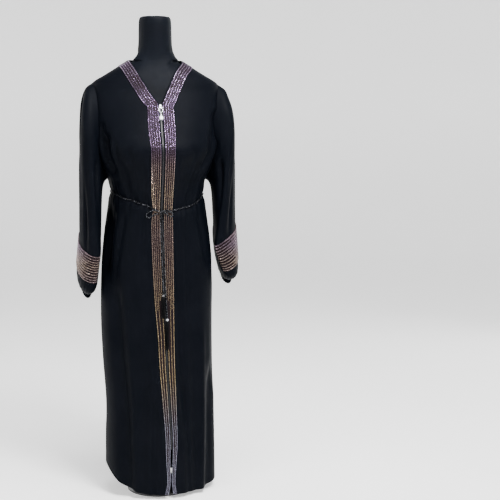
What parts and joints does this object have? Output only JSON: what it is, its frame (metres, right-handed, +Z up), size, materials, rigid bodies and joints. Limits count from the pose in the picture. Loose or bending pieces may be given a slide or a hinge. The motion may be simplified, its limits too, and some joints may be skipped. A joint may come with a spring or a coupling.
{
  "type": "abaya on a dress form",
  "caption": "Long front-opening abaya with stone-set bands, gathered cuffs and a tied cord belt, on a limbless dress form.",
  "frame": {"origin": "middle of the round base's underside, on the floor", "axes": "+Z up, the garment's front faces -Y, the wearer's left side is +X"},
  "size_m": [0.54, 0.3436, 1.576],
  "materials": {
    "black crepe": "smooth crepe with a soft sheen",
    "small stones": "set with small faceted stones",
    "zip tape": "woven tape",
    "silver metal": "polished",
    "clear crystal": "cut and clear",
    "braided cord": "braided, black with silver",
    "black fringe": "twisted threads",
    "form cover": "smooth jersey",
    "stand paint": "satin"
  },
  "bodies": {
    "garment": {"front_right": "black crepe", "front_left": "black crepe", "back": "black crepe", "sleeve_right": "black crepe", "sleeve_left": "black crepe", "cuff_right": "black crepe", "cuff_left": "black crepe", "front_band_right": "small stones", "front_band_left": "small stones", "sleeve_band_right": "small stones", "sleeve_band_left": "small stones", "zip_tape_right": "zip tape", "zip_tape_left": "zip tape", "zip_slider": "silver metal", "belt_waist": "braided cord", "belt_knot": "braided cord", "belt_bow_right": "braided cord", "belt_bow_left": "braided cord", "belt_end_right": "braided cord", "belt_end_left": "braided cord", "bead_right": "clear crystal", "bead_left": "clear crystal", "tassel_right": "black fringe", "tassel_left": "black fringe", "form_torso": "form cover", "form_pole": "stand paint", "form_base": "stand paint"},
    "pull_ring": {"zip_ring": "silver metal"},
    "pull_drop": {"zip_drop": "silver metal", "zip_crystal": "clear crystal"}
  },
  "joints": [
    {"name": "ring_swing", "type": "hinge", "parent": "garment", "child": "pull_ring", "pos_m": [-0.002, -0.12384, 1.28477], "axis": [-1, 0, 0], "range_deg": [0, 120]},
    {"name": "drop_swing", "type": "hinge", "parent": "pull_ring", "child": "pull_drop", "pos_m": [-0.002, -0.132, 1.26541], "axis": [-1, 0, 0], "range_deg": [0, 60]}
  ]
}
